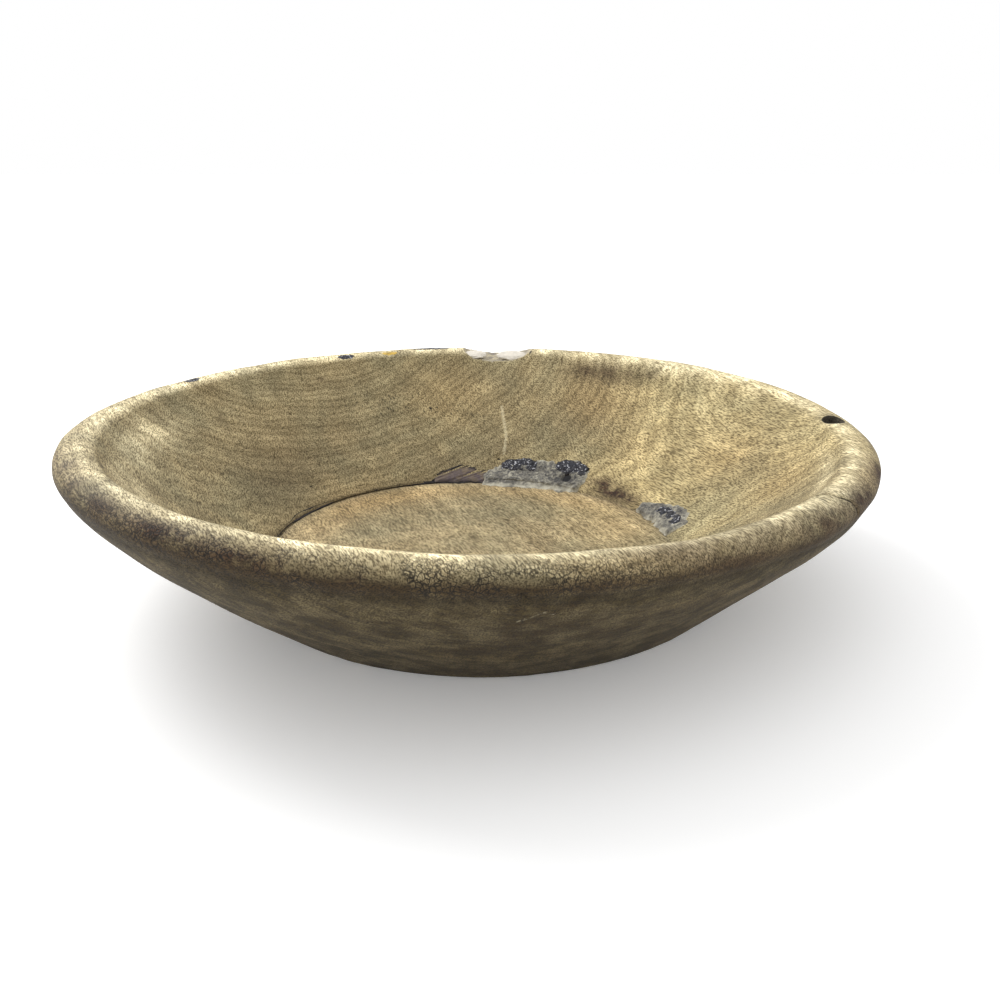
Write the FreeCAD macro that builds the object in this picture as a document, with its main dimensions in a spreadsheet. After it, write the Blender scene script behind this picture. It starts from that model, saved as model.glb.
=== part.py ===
import FreeCAD, Part
import os
import Sketcher

# A shallow bowl carved from one block of wood, with a thick rolled rim and old
# repairs. The origin is on the rim's axis in the plane of the foot, +Z is up,
# +X is the side that the hole in the rim is on, and lengths are millimetres.
# The carver's rim, floor and foot aren't quite on one axis: the floor and the
# foot are shifted along +X.

doc = FreeCAD.newDocument("carved_bowl")
sheet = doc.addObject("Spreadsheet::Sheet", "dims")
sheet_rows = []


def cell(alias, value):
    """Add one driving dimension to the sheet and return its expression."""
    sheet_rows.append(alias)
    row = len(sheet_rows)
    sheet.set("A%d" % row, alias)
    sheet.set("B%d" % row, str(value))
    sheet.setAlias("B%d" % row, alias)
    return "dims." + alias


# Overall form
cell("rim_radius", 220)
cell("crest_height", 93.5)
cell("foot_radius", 128)
cell("foot_shift", 10)
cell("floor_radius", 114.5)
cell("floor_height", 20)
cell("floor_shift", 4.4)

# The rolled rim: a crowned band, a rounded outer edge and a cove below it
cell("band_width", 20.5)
cell("band_crown", 2.5)
cell("edge_round", 7.4)
cell("shoulder_share", 0.6)
cell("shoulder_rise", 0.3)
cell("crown_round_share", 0.68)
cell("lip_depth", 14.5)
cell("cove_inset", 3)
cell("ring_root", 12)

# Fractions of the way from foot to cove, outwards and upwards
cell("low_out", 0.353)
cell("low_up", 0.268)
cell("mid_out", 0.690)
cell("mid_up", 0.585)
cell("high_out", 0.943)
cell("high_up", 0.877)

# Fractions of the way from floor to inner edge, outwards and upwards
cell("hollow_low_out", 0.51)
cell("hollow_low_up", 0.44)
cell("hollow_high_out", 0.84)
cell("hollow_high_up", 0.79)

# Repairs in the floor's corner: how far they stand above the floor, and the shares
# of the toe that the bed spans and of the wall side that the fullest point is at
cell("strip_stand", 0.3)
cell("strip_bed_share", 0.4)
cell("strip_belly_share", 0.25)
doc.recompute()

COVE_HEIGHT = "(dims.crest_height - dims.lip_depth)"
COVE_RADIUS = "(dims.rim_radius - dims.cove_inset)"
EDGE_HEIGHT = "(dims.crest_height - dims.band_crown)"
INNER_RADIUS = "(dims.rim_radius - dims.band_width)"


def origin_plane(body, role):
    """Return one of a body's own origin planes."""
    for feature in body.Origin.OriginFeatures:
        if feature.Role == role:
            return feature
    raise ValueError("no plane " + role)


def new_sketch(body, name, role):
    """Make an empty sketch on one of the body's origin planes."""
    sketch = body.newObject("Sketcher::SketchObject", name)
    sketch.AttachmentSupport = [(origin_plane(body, role), "")]
    sketch.MapMode = "FlatFace"
    return sketch


def circle_section(body, name, radius, shift, height):
    """Make a horizontal circle, shifted along X, at one height."""
    sketch = new_sketch(body, name, "XY_Plane")
    centre = FreeCAD.Vector(0, 0, 0)
    sketch.addGeometry(Part.Circle(centre, FreeCAD.Vector(0, 0, 1), 100), False)
    sketch.addConstraint(Sketcher.Constraint("Coincident", 0, 3, -1, 1))
    index = sketch.addConstraint(Sketcher.Constraint("Radius", 0, 100))
    sketch.renameConstraint(index, "radius")
    sketch.setExpression("Constraints.radius", radius)
    sketch.setExpression("AttachmentOffset.Base.x", shift)
    sketch.setExpression("AttachmentOffset.Base.z", height)
    return sketch


def number(expression):
    """Work out an expression of the sheet as a plain number."""
    value = sheet.evalExpression(expression)
    return float(getattr(value, "Value", value))


def closed_outline(sketch, corners, arcs):
    """Draw a closed outline through (name, across, up) corners.

    arcs maps a corner's name to the radius of the arc that starts there and
    bulges away from the outline's middle. The other sides are straight.
    """
    points = [FreeCAD.Vector(number(across), number(up), 0) for _, across, up in corners]
    middle = sum(points, FreeCAD.Vector(0, 0, 0)) / len(points)
    count = len(points)
    for index in range(count):
        start = points[index]
        end = points[(index + 1) % count]
        name = corners[index][0]
        if name not in arcs:
            sketch.addGeometry(Part.LineSegment(start, end), False)
            continue
        chord = end - start
        radius = number(arcs[name])
        rise = radius - (radius ** 2 - (chord.Length / 2) ** 2) ** 0.5
        outward = FreeCAD.Vector(chord.y, -chord.x, 0).normalize()
        if outward.dot((start + end) / 2 - middle) < 0:
            outward = outward * -1
        top = (start + end) / 2 + outward * rise
        sketch.addGeometry(Part.Arc(start, top, end), False)

    # An arc runs anticlockwise, so its first point may be the outline's second.
    def ends(index):
        curve = sketch.Geometry[index]
        if curve.StartPoint.distanceToPoint(points[index]) < 1e-6:
            return 1, 2
        return 2, 1

    for index in range(count):
        following = (index + 1) % count
        sketch.addConstraint(Sketcher.Constraint(
            "Coincident", index, ends(index)[1], following, ends(following)[0]))
    for index, (name, across, up) in enumerate(corners):
        first = ends(index)[0]
        for kind, side, expression in (("DistanceX", "across", across), ("DistanceY", "up", up)):
            constraint = sketch.addConstraint(Sketcher.Constraint(
                kind, -1, 1, index, first, number(expression)))
            sketch.renameConstraint(constraint, name + "_" + side)
            sketch.setExpression("Constraints." + name + "_" + side, expression)
        if name in arcs:
            constraint = sketch.addConstraint(Sketcher.Constraint(
                "Radius", index, number(arcs[name])))
            sketch.renameConstraint(constraint, name + "_round")
            sketch.setExpression("Constraints." + name + "_round", arcs[name])


# ---- The carved block --------------------------------------------------------

carving = doc.addObject("PartDesign::Body", "carving")


def wall_section(name, out, up):
    """One circle of the outside, from the foot (0, 0) to the cove (1, 1)."""
    radius = "dims.foot_radius + (%s - dims.foot_radius) * %s" % (COVE_RADIUS, out)
    return circle_section(
        carving, name, radius, "dims.foot_shift * (1 - %s)" % up, "%s * %s" % (COVE_HEIGHT, up))


outside_sections = [
    wall_section("foot_circle", "0", "0"),
    wall_section("low_circle", "dims.low_out", "dims.low_up"),
    wall_section("mid_circle", "dims.mid_out", "dims.mid_up"),
    wall_section("high_circle", "dims.high_out", "dims.high_up"),
    wall_section("cove_circle", "1", "1"),
]
outside = carving.newObject("PartDesign::AdditiveLoft", "outside")
outside.Profile = outside_sections[0]
outside.Sections = outside_sections[1:]

rim_sketch = new_sketch(carving, "rim_sketch", "XZ_Plane")
closed_outline(
    rim_sketch,
    [
        ("root", INNER_RADIUS + " - dims.ring_root", COVE_HEIGHT),
        ("cove", COVE_RADIUS, COVE_HEIGHT),
        ("shoulder", "dims.rim_radius - dims.edge_round * dims.shoulder_share",
         EDGE_HEIGHT + " + dims.shoulder_rise"),
        ("inner_edge", INNER_RADIUS, EDGE_HEIGHT),
        ("root_top", INNER_RADIUS + " - dims.ring_root", EDGE_HEIGHT),
    ],
    {"cove": "dims.edge_round", "shoulder": "dims.band_width * dims.crown_round_share"},
)
rim = carving.newObject("PartDesign::Revolution", "rim")
rim.Profile = rim_sketch
rim.ReferenceAxis = (rim_sketch, ["V_Axis"])
rim.Angle = 360


def hollow_section(name, out, up):
    """One circle of the inside, from the floor (0, 0) to the inner edge (1, 1)."""
    radius = "dims.floor_radius + (%s - dims.floor_radius) * %s" % (INNER_RADIUS, out)
    height = "dims.floor_height + (%s - dims.floor_height) * %s" % (EDGE_HEIGHT, up)
    return circle_section(carving, name, radius, "dims.floor_shift * (1 - %s)" % up, height)


hollow_sections = [
    hollow_section("floor_circle", "0", "0"),
    hollow_section("hollow_low_circle", "dims.hollow_low_out", "dims.hollow_low_up"),
    hollow_section("hollow_high_circle", "dims.hollow_high_out", "dims.hollow_high_up"),
    hollow_section("mouth_circle", "1", "1"),
]
hollow = carving.newObject("PartDesign::SubtractiveLoft", "hollow")
hollow.Profile = hollow_sections[0]
hollow.Sections = hollow_sections[1:]
doc.recompute()


# ---- Repairs in the corner between floor and wall ------------------------------

def corner_strip(name, start, end, toe, heel, depth, wall, up, belly):
    """Make a repair that runs round the floor's corner and its bed in the wood.

    start and end are angles round the floor's centre. The section, measured from
    the corner: toe on the floor, heel behind the corner, depth below the floor,
    then wall outwards and up on the wall, and belly, how full the free face is.
    """
    cell(name + "_start", start)
    cell(name + "_end", end)
    cell(name + "_toe", toe)
    cell(name + "_heel", heel)
    cell(name + "_depth", depth)
    cell(name + "_wall", wall)
    cell(name + "_up", up)
    cell(name + "_belly", belly)
    doc.recompute()
    corner = "dims.floor_radius"
    floor = "dims.floor_height"
    own = "dims." + name
    corners = [
        ("toe", "%s - %s_toe" % (corner, own), floor + " + dims.strip_stand"),
        ("bed_in", "%s - %s_toe * dims.strip_bed_share" % (corner, own), "%s - %s_depth" % (floor, own)),
        ("bed_out", "%s + %s_heel" % (corner, own), "%s - %s_depth" % (floor, own)),
        ("wall", "%s + %s_wall" % (corner, own), "%s + %s_up" % (floor, own)),
        ("belly", "%s + %s_wall * dims.strip_belly_share" % (corner, own), "%s + %s_belly" % (floor, own)),
    ]

    def section(body, label):
        sketch = new_sketch(body, label, "XZ_Plane")
        closed_outline(sketch, corners, {})
        sketch.AttachmentOffset = FreeCAD.Placement(
            FreeCAD.Vector(0, 0, 0), FreeCAD.Rotation(FreeCAD.Vector(0, 1, 0), 30))
        sketch.setExpression("AttachmentOffset.Base.x", "dims.floor_shift")
        sketch.setExpression("AttachmentOffset.Rotation.Angle", own + "_start")
        return sketch

    def sweep(body, kind, label):
        sketch = section(body, label + "_sketch")
        feature = body.newObject("PartDesign::" + kind, label)
        feature.Profile = sketch
        feature.ReferenceAxis = (sketch, ["V_Axis"])
        feature.setExpression("Angle", "%s_end - %s_start" % (own, own))
        return feature

    strip = doc.addObject("PartDesign::Body", name + "_strip")
    sweep(strip, "Revolution", name + "_fill")
    before = carving.Shape.Volume
    bed = sweep(carving, "Groove", name + "_bed")
    doc.recompute()
    if carving.Shape.Volume >= before:
        raise ValueError("the bed of %s cuts nothing" % name)
    return strip, bed


corner_fill_back_strip, _ = corner_strip("corner_fill_back", 52.5, 89, 7, 6, 5.5, 18.5, 13.2, 5.6)
pitch_strip, _ = corner_strip("corner_pitch_strip", 89, 103.5, 3.5, 2.5, 2.6, 6, 4.6, 1.8)
seam_strip, _ = corner_strip("seam_pitch_left", 103.5, 196, 1.2, 0.9, 1.6, 1.9, 1.5, 0.7)
corner_fill_right_strip, _ = corner_strip("corner_fill_right", 3.5, 29.5, 4.6, 4, 4, 13, 9.4, 4.2)


# ---- Chips, plugs and lumps: rounded tools set in the wood ---------------------

def pebble(name, angle, radius, height, along, across, depth, tilt):
    """Make an egg-shaped solid at a bearing round the rim's axis.

    along, across and depth are its full sizes: along the rim, outwards, and
    upwards before tilt turns it, top inwards, about the rim's direction.
    """
    for word, value in (
        ("angle", angle), ("radius", radius), ("height", height),
        ("along", along), ("across", across), ("depth", depth), ("tilt", tilt),
    ):
        cell(name + "_" + word, value)
    doc.recompute()
    own = "dims." + name
    egg = doc.addObject("Part::Ellipsoid", name + "_egg")
    egg.Angle1 = -90
    egg.Angle2 = 90
    egg.Angle3 = 360
    egg.setExpression("Radius1", own + "_depth / 2")
    egg.setExpression("Radius2", own + "_across / 2")
    egg.setExpression("Radius3", own + "_along / 2")
    egg.setExpression("Placement.Base.x", "%s_radius * cos(%s_angle * 1 deg)" % (own, own))
    egg.setExpression("Placement.Base.y", "%s_radius * sin(%s_angle * 1 deg)" % (own, own))
    egg.setExpression("Placement.Base.z", own + "_height")
    # Yaw is the bearing, and a negative pitch leans the top inwards.
    egg.setExpression("Placement.Rotation.Yaw", own + "_angle")
    egg.setExpression("Placement.Rotation.Pitch", "-%s_tilt" % own)
    return egg


def join(kind, name, base, tool, label=None):
    """Make a boolean of two objects, and label it when it is a sub-part."""
    result = doc.addObject("Part::" + kind, name)
    result.Base = base
    result.Tool = tool
    result.Label = label or name
    return result


# Dark lumps pressed into the corner fills
lump_left = pebble("corner_lump_left", 76.5, 126, 27.5, 20, 8, 7, 38)
lump_right = pebble("corner_lump_right", 61, 131.5, 32, 19, 8, 7, 38)
lump_small = pebble("corner_lump_small", 15.5, 125.5, 25.5, 13, 7, 6, 38)

# Plugs of pitch and wax let into the rim
plugs = {
    "rim_pitch_left": pebble("rim_pitch_left", 150.5, 208, 93, 17, 6, 6, 0),
    "rim_pitch_back": pebble("rim_pitch_back", 117, 204.5, 93, 15, 7, 6, 0),
    "rim_wax_spot": pebble("rim_wax_spot", 108, 204.5, 93, 12, 4.5, 4, 0),
    "rim_pitch_sliver": pebble("rim_pitch_sliver", 99.5, 206.5, 93, 28, 3.2, 5, 0),
}

# The chip in the back of the rim, the two lumps of putty in it, and a blind hole
chip = pebble("rim_chip", 86, 208, 94, 50, 42, 15.5, 5)
putty_left_egg = pebble("rim_putty_left", 91, 200, 87.5, 16, 22, 9, 12)
putty_right_egg = pebble("rim_putty_right", 82, 200, 87, 25, 22, 9, 12)
hole_egg = pebble("rim_hole", 6.5, 206.5, 92, 11, 10, 13, 0)

broken_out = join("Common", "broken_out", carving, chip)
join("Common", "putty_left", broken_out, putty_left_egg, "rim_putty_left")
join("Common", "putty_right", broken_out, putty_right_egg, "rim_putty_right")
for plug_name, plug_egg in plugs.items():
    join("Common", plug_name + "_plug", carving, plug_egg, plug_name)

cutters = doc.addObject("Part::MultiFuse", "cutters")
cutters.Shapes = [chip, hole_egg, lump_left, lump_right, lump_small] + list(plugs.values())
join("Cut", "whole_bowl", carving, cutters, "bowl_body")

fill_lumps = doc.addObject("Part::MultiFuse", "fill_lumps")
fill_lumps.Shapes = [lump_left, lump_right]
join("Cut", "back_fill", corner_fill_back_strip, fill_lumps, "corner_fill_back")
join("Cut", "right_fill", corner_fill_right_strip, lump_small, "corner_fill_right")
pitch_strip.Label = "corner_pitch_strip"
seam_strip.Label = "seam_pitch_left"
lump_left.Label = "corner_lump_left"
lump_right.Label = "corner_lump_right"
lump_small.Label = "corner_lump_small"

NODES = [
    "bowl_body",
    "corner_fill_back", "corner_lump_left", "corner_lump_right", "corner_pitch_strip",
    "corner_fill_right", "corner_lump_small", "seam_pitch_left",
    "rim_putty_left", "rim_putty_right",
    "rim_pitch_left", "rim_pitch_back", "rim_pitch_sliver", "rim_wax_spot",
]


# ---- Checks and files ----------------------------------------------------------

doc.recompute()
for item in doc.Objects:
    if "Invalid" in item.State or "Error" in item.State:
        raise RuntimeError("%s failed: %s" % (item.Name, item.State))

os.makedirs("parts", exist_ok=True)
for node in NODES:
    found = doc.getObjectsByLabel(node)
    if len(found) != 1:
        raise RuntimeError("%d objects are labelled %s" % (len(found), node))
    shape = found[0].Shape
    if shape.isNull() or not shape.isValid() or not shape.Solids:
        raise RuntimeError(node + " has no valid solid")
    box = shape.BoundBox
    print("%-20s solids %d  volume %10.1f  x %7.1f %7.1f  y %7.1f %7.1f  z %6.1f %6.1f" % (
        node, len(shape.Solids), shape.Volume,
        box.XMin, box.XMax, box.YMin, box.YMax, box.ZMin, box.ZMax))
    shape.exportStep("parts/%s.step" % node)
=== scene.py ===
import math

import bmesh
import bpy
import numpy as np
from bpy.props import FloatProperty, FloatVectorProperty, IntProperty, PointerProperty
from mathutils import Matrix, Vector, noise


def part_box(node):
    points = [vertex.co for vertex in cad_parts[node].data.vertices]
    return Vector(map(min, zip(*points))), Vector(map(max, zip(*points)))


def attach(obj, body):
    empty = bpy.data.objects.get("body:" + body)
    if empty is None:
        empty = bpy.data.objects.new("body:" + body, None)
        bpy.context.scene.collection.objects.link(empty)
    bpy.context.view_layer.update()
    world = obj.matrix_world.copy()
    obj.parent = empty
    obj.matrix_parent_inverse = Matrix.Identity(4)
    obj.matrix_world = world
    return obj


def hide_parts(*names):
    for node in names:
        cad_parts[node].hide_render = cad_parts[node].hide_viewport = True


bl_info = {
    "name": "Carved Wooden Bowl",
    "version": (1, 0, 0),
    "blender": (4, 5, 0),
    "location": "3D View > Sidebar > Bowl",
    "description": "Builds a hand-carved wooden bowl with its old repairs",
    "category": "Add Mesh",
}

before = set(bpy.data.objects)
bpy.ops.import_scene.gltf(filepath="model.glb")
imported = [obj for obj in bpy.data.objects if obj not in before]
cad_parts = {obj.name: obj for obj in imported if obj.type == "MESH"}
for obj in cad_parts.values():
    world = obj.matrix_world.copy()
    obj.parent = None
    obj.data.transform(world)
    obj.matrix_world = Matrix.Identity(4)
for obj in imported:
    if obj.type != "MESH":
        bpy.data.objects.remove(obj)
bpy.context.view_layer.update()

MM = 0.001
BODY_LOW, BODY_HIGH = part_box("bowl_body")
RIM_RADIUS = (BODY_HIGH.x - BODY_LOW.x) / 2
CREST_HEIGHT = BODY_HIGH.z


def linear(red, green, blue):
    """A display colour, each part from 0 to 255, as the linear colour that shaders use."""
    parts = []
    for part in (red, green, blue):
        value = part / 255
        parts.append(value / 12.92 if value <= 0.04045 else ((value + 0.055) / 1.055) ** 2.4)
    return tuple(parts)


def unit(values):
    """Values kept between 0 and 1."""
    return np.clip(values, 0, 1)


def bell(values, width, power=2):
    """1 where values are 0, and fading out over a width on both sides."""
    return np.exp(-(values / width) ** power)


def length(name, description, default):
    """A size in metres that a user can change."""
    return FloatProperty(
        name=name, description=description, default=default, subtype="DISTANCE", unit="LENGTH")


def paint(name, description, default):
    """A colour that a user can change."""
    return FloatVectorProperty(
        name=name, description=description, default=linear(*default), size=3,
        min=0, max=1, subtype="COLOR")


# ---- What a user can change ----

class BowlShape(bpy.types.PropertyGroup):
    rim_radius: length("Rim radius", "Widest radius of the rim", RIM_RADIUS)
    crest_height: length("Crest height", "Height of the rim's crest", CREST_HEIGHT)
    foot_radius: length("Foot radius", "Radius of the flat foot", 0.595 * RIM_RADIUS)
    foot_shift: length("Foot shift", "How far the foot is off the rim's axis", 13 * MM)
    floor_radius: length("Floor radius", "Radius of the inner floor", 0.516 * RIM_RADIUS)
    floor_height: length("Floor height", "Thickness of the floor", 0.2135 * CREST_HEIGHT)
    floor_shift: length("Floor shift", "How far the floor is off the rim's axis", 2.4 * MM)
    band_width: length("Band width", "Width of the rim's upper band", 20.5 * MM)
    oval: length("Oval", "How far the rim is stretched across the grain", 2.5 * MM)
    lobes: length("Lobes", "How far the rim strays from an oval", 5.0 * MM)
    sway: length("Sway", "How far the rim rises and falls", 4.4 * MM)
    lean: length("Lean", "How much lower the rim is at its right", 6.0 * MM)
    tool_marks: length("Tool marks", "Depth of the carver's unevenness", 0.55 * MM)
    columns: IntProperty(
        name="Columns", description="Faces round the rim", default=1024, min=64, step=32)


class BowlWood(bpy.types.PropertyGroup):
    heartwood: paint("Heartwood", "The darker wood near the tree's middle", (141, 128, 98))
    sapwood: paint("Sapwood", "The lighter wood near the bark", (188, 173, 131))
    floor_tint: paint("Floor tint", "The warmer wood of the floor", (171, 157, 127))
    warm_tint: paint("Warm tint", "Golden brown clouds", (184, 148, 92))
    cool_tint: paint("Cool tint", "Grey-green clouds", (150, 144, 114))
    wear_and_highlight: paint("Worn edge", "Where hands have polished the rim", (236, 224, 188))
    patina: paint("Patina", "The dark skin on the outside", (46, 38, 16))
    # The worn colour paints wear and a painted highlight along the crest; pale patches and
    # scratches use it too.
    patina_brown: paint("Brown patina", "Browner clouds in the dark skin", (56, 41, 14))
    patina_pale: paint("Pale patina", "Paler specks in the dark skin", (79, 68, 32))
    stain: paint("Stain", "Old brown stains", (58, 40, 24))
    # The grime colour is dirt in cracks and the lip's crackle, and painted shade under the lip,
    # round the floor's corner, in the thread's groove and in the rim's hole.
    grime_and_shade: paint("Grime", "Dirt in hollows and cracks", (22, 18, 12))
    broken: paint("Broken wood", "The chip's raw face", (194, 183, 156))
    broken_dark: paint("Broken wood shade", "Grey smears on the chip's face", (128, 122, 118))
    fibre_dark: FloatVectorProperty(
        name="Dark fibres", description="What dark fibres leave of the wood's colour",
        default=(0.40, 0.37, 0.31), size=3, min=0, max=2, subtype="COLOR")
    fibre_light: FloatVectorProperty(
        name="Light fibres", description="What light fibres make of the wood's colour",
        default=(1.46, 1.46, 1.44), size=3, min=0, max=2, subtype="COLOR")
    ring_gap: length("Ring gap", "From one growth ring to the next", 3.4 * MM)
    fibre_gap: length("Fibre gap", "From one fibre or vessel to the next", 0.66 * MM)
    grain_bearing: FloatProperty(
        name="Grain bearing", description="Which way the fibres run, seen from above",
        default=math.radians(115), subtype="ANGLE", unit="ROTATION")
    pith_across: length("Pith across", "Tree's middle, sideways from the rim's axis", -36 * MM)
    pith_up: length("Pith up", "Tree's middle, above the foot", 249 * MM)


class BowlRepairs(bpy.types.PropertyGroup):
    lime: paint("Lime", "The grey corner fills", (112, 108, 98))
    lime_pale: paint("Pale lime", "The fills' chalky feathered edges", (176, 171, 154))
    lime_dark: paint("Dark lime", "Dirt in the fills", (52, 52, 56))
    pitch: paint("Pitch", "The dark lumps and plugs", (26, 26, 33))
    pitch_dust: paint("Pitch dust", "Dust on the pitch", (48, 50, 58))
    smear: paint("Smear", "The brushed purple-grey strip", (80, 68, 70))
    smear_pale: paint("Pale smear", "Where the strip is brushed thin", (124, 110, 90))
    thread: paint("Thread", "The dark thread round the floor", (24, 19, 17))
    # White specks painted as glints on the pitch.
    glint: paint("Glint", "Grit that shows in the pitch", (214, 214, 220))
    putty: paint("Putty", "The white lumps in the chip", (214, 207, 194))
    wax: paint("Wax", "The yellow spot on the rim", (204, 168, 66))


class BowlStage(bpy.types.PropertyGroup):
    floor_colour: paint("Floor colour", "The pale floor", (252, 252, 252))
    key_power: FloatProperty(
        name="Key light", description="Power of the soft light at the upper left",
        default=12.0, min=0, unit="POWER")
    floor_glow: FloatProperty(
        name="Floor glow", description="How much light the pale floor gives of its own",
        default=0.16, min=0, max=1)
    sky_strength: FloatProperty(
        name="Sky", description="Strength of the light from all round", default=1.0, min=0)


# ---- The bowl's section and its warps ----

def stretch(start, first, second, end, count):
    """Points of one Bezier stretch of a section, without the last one."""
    t = np.linspace(0, 1, count, endpoint=False)[:, None]
    a, b, c, d = (np.array(p, float) for p in (start, first, second, end))
    return (1 - t) ** 3 * a + 3 * t * (1 - t) ** 2 * b + 3 * t * t * (1 - t) * c + t ** 3 * d


def section_rows(shape):
    """The bowl's half section from under the foot, over the rim, to the floor's middle.

    Returns (radius, height) rows and each row's level: at level n a ring has
    columns / 2**n faces. The rows lie closest on the rim and in the floor's corner.
    """
    def near(radius, height):
        """A maker of points given in mm outwards and upwards from one place."""
        return lambda out, up: (radius + out * MM, height + up * MM)

    by_axis, by_foot = near(0, 0), near(shape.foot_radius, 0)
    by_rim = near(shape.rim_radius, shape.crest_height)
    by_band = near(shape.rim_radius - shape.band_width, shape.crest_height)
    by_corner, on_floor = near(shape.floor_radius, shape.floor_height), near(0, shape.floor_height)
    # Each stretch: its level, how many rows it has, its two handles and its end
    stretches = [
        (4, 3, by_axis(20, 0.9), by_axis(30, 0.8), by_axis(40, 0.6)),
        (3, 4, by_axis(60, 0.5), by_axis(75, 0.3), by_axis(90, 0.2)),
        (2, 5, by_axis(100, 0), by_axis(112, 0), by_foot(-4, 0)),
        (2, 5, by_foot(-1, 0), by_foot(1.2, 0.7), by_foot(3.2, 2.3)),
        (1, 32, by_foot(27, 22.5), by_rim(-9, -30), by_rim(-2.6, -14.7)),
        (0, 9, by_rim(-2.3, -13), by_rim(0.2, -11), by_rim(0.4, -7.8)),
        (0, 14, by_rim(0.7, -3.6), by_rim(-5, 0), by_band(9.3, 0)),
        (0, 11, by_band(6.5, 0), by_band(3.4, -1), by_band(1.1, -2.1)),
        (0, 5, by_band(0.2, -2.5), by_band(-0.5, -3.3), by_band(-1.2, -4.4)),
        (0, 8, by_band(-4, -8.2), by_band(-6.5, -10.6), by_band(-9, -13)),
        (1, 27, by_band(-28, -31), by_corner(24, 15.5), by_corner(1.6, 1.2)),
        (1, 7, by_corner(0.7, 0.5), by_corner(0, 0), by_corner(-1.2, 0)),
        (1, 6, by_corner(-4, 0), by_corner(-7, 0), by_corner(-10, 0)),
        (2, 15, by_corner(-30, -0.2), on_floor(60, 0), on_floor(46, 0)),
        (3, 6, on_floor(38, 0), on_floor(30, 0), on_floor(22, 0)),
        (4, 3, on_floor(16, 0), on_floor(10, 0), on_floor(4, 0)),
    ]
    points, levels = [], []
    start = by_axis(5, 0.9)
    for level, count, first, second, end in stretches:
        points.append(stretch(start, first, second, end, count))
        levels += [level] * count
        start = end
    return np.vstack(points), levels


OVAL_TURN = math.radians(115)
LOBE_TURN = math.radians(39)
SWAY_TURN = math.radians(115)
# How much of the floor's and the foot's shift also goes towards the chip, and how soon
# the foot's shift fades out on the way up
FLOOR_ASIDE = 0.5
FOOT_ASIDE = 0.22
FOOT_SHIFT_FADE = 1.18
# How far the rim is off its axis, and lower than its crest, on the whole
RIM_SHIFT = 2.5 * MM
RIM_DROP = 1.5 * MM


def place(shape, turn, radius, height, inside=True):
    """Carry a point of the true round form to the carver's uneven one, in metres."""
    rise = np.clip(height / shape.crest_height, 0, 1.1)
    reach = (radius / shape.rim_radius) ** 3
    if inside:
        span = shape.crest_height - shape.floor_height
        shift = shape.floor_shift * (1 - unit((height - shape.floor_height) / span))
        aside = shift * FLOOR_ASIDE
    else:
        shift = shape.foot_shift * unit(1 - rise * FOOT_SHIFT_FADE)
        aside = shift * FOOT_ASIDE
    wide = radius + reach * (
        shape.oval * np.cos(2 * turn - OVAL_TURN) + shape.lobes * np.cos(3 * turn - LOBE_TURN))
    across = shift + RIM_SHIFT * rise + wide * np.cos(turn)
    deep = aside + wide * np.sin(turn)
    wave = shape.sway * np.cos(2 * turn - SWAY_TURN) - shape.lean * np.cos(turn)
    up = height + rise * (wave * reach - RIM_DROP)
    return np.stack([across, deep, up], axis=-1)


def round_spots(turn, radius, height):
    """Points on the true round form, for noise and distances to read."""
    return np.stack([radius * np.cos(turn), radius * np.sin(turn), height], axis=-1)


def rough(points, size, seed):
    """Smooth noise from about -1 to 1 at each point, with features of one size."""
    offset = Vector((seed * 7.3, seed * 3.1, seed * 5.7))
    values = [noise.noise(Vector(p) / size + offset) for p in points.reshape(-1, 3)]
    return np.array(values).reshape(points.shape[:-1])


def node_spot(node):
    """Bearing, distance from the rim's axis and middle of a CAD node."""
    low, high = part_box(node)
    middle = (low + high) / 2
    return math.atan2(middle.y, middle.x), math.hypot(middle.x, middle.y), middle


def bearing_gap(turn, other):
    """Signed angle from one bearing to another."""
    return (turn - other + math.pi) % (2 * math.pi) - math.pi


# ---- Marks on the wood ----

CHIP_BEARING = math.radians(86)
CHIP_RADIUS = 208 * MM
CHIP_HEIGHT = CREST_HEIGHT + 0.4 * MM
CHIP_LENGTH = 50 * MM
CHIP_WIDTH = 42 * MM
CHIP_DEPTH = 15.5 * MM
CHIP_TILT = math.radians(5)
CHIP_REACH = 14 * MM
CHIP_JAG = 1.9 * MM
CHIP_GRIT = 0.5 * MM

HOLE_BEARING = math.radians(6.5)
HOLE_RADIUS = 206.5 * MM
HOLE_LENGTH = 13 * MM
HOLE_WIDTH = 10 * MM
HOLE_DEPTH = 9 * MM
# Where the hole's wall starts and how far in it slopes, and how far out it is painted dark as
# shade, all as shares of its outline
HOLE_MOUTH, HOLE_SLOPE, HOLE_DARK = 1.05, 0.3, 1.2

# Bearing of the crack across the front rim, in degrees
FRONT_CRACK = -38.5
# The foot is flat below this height
FLAT_FOOT_TOP = 2 * MM
CRACK_DEPTH = 1.4 * MM
# The groove of the dark thread runs between these bearings, in degrees
GROOVE_START, GROOVE_END = 92, 250
GROOVE_DEPTH = 1 * MM
# The lip's dry skin is cracked round this bearing
CRACKLE_BEARING = math.radians(-104)
CRACKLE_SPREAD = math.radians(42)
# A distance in mm that no crack's edge reaches
FAR_AWAY = 99
# How deep patches and plugs are let into the wood
PATCH_BEDDING = -2.6 * MM
PLUG_DEPTH = 2.5 * MM
# How far the putty lumps stand above their CAD nodes' middles, and how finely they are made
LUMP_RISE = 0.4 * MM
LUMP_DETAIL = 5

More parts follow.
